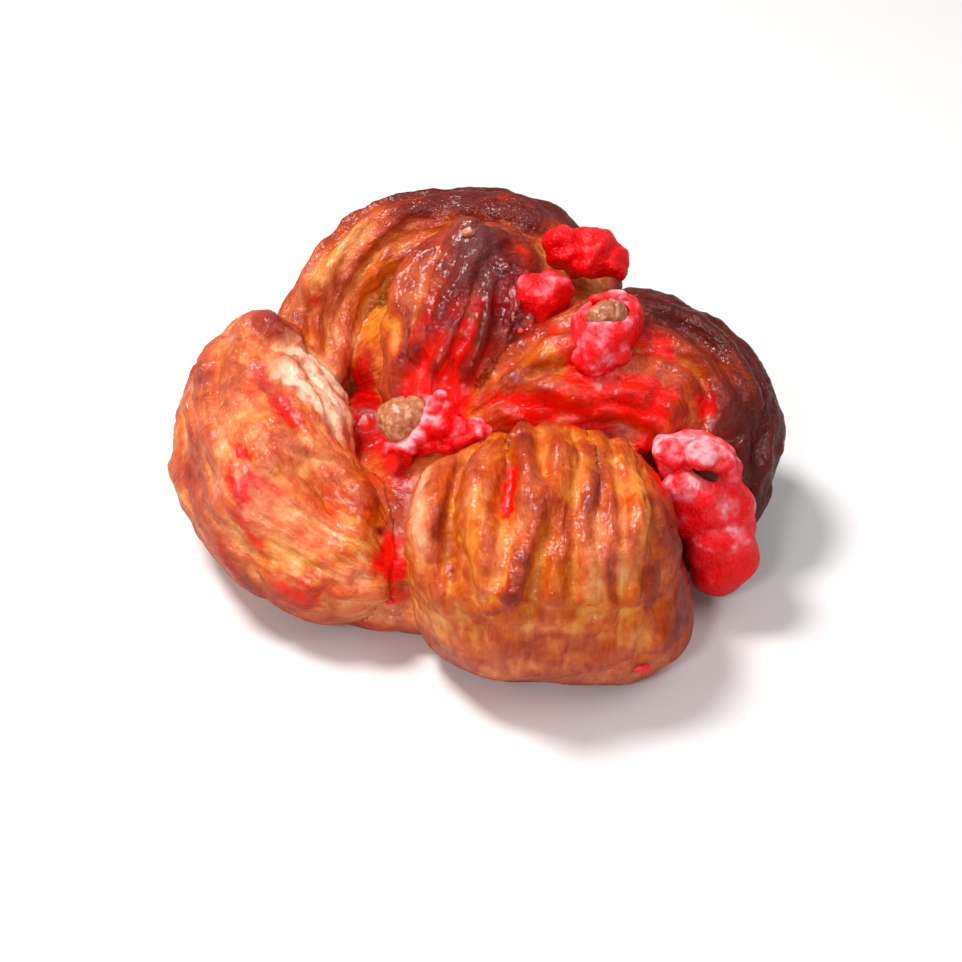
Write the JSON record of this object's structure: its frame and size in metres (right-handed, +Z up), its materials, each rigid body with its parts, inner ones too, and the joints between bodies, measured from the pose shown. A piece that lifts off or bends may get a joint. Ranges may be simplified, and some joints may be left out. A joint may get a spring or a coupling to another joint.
{
  "type": "babka",
  "caption": "Small round knotted sweet bun, pleated and glazed, with pink sugared nuts sunk into its creases and a flat underside.",
  "frame": {"origin": "middle of the footprint, on the flat underside", "axes": "+Z up from the underside, -Y towards the front of the bun with the widest pleated turn, +X to the right seen from the front"},
  "size_m": [0.1076, 0.0982, 0.0522],
  "materials": {
    "crust": "baked egg-washed crust with sugar syrup, amber to dark brown",
    "sugar": "cooked pink-red sugar, frosted on top",
    "nut": "roasted nut, matte"
  },
  "bodies": {
    "root": {"dough": "crust", "praline_centre": "sugar", "praline_top": "sugar", "praline_small": "sugar", "praline_back": "sugar", "praline_right": "sugar", "nut_centre": "nut", "nut_back": "nut", "nut_right": "nut"}
  },
  "joints": []
}
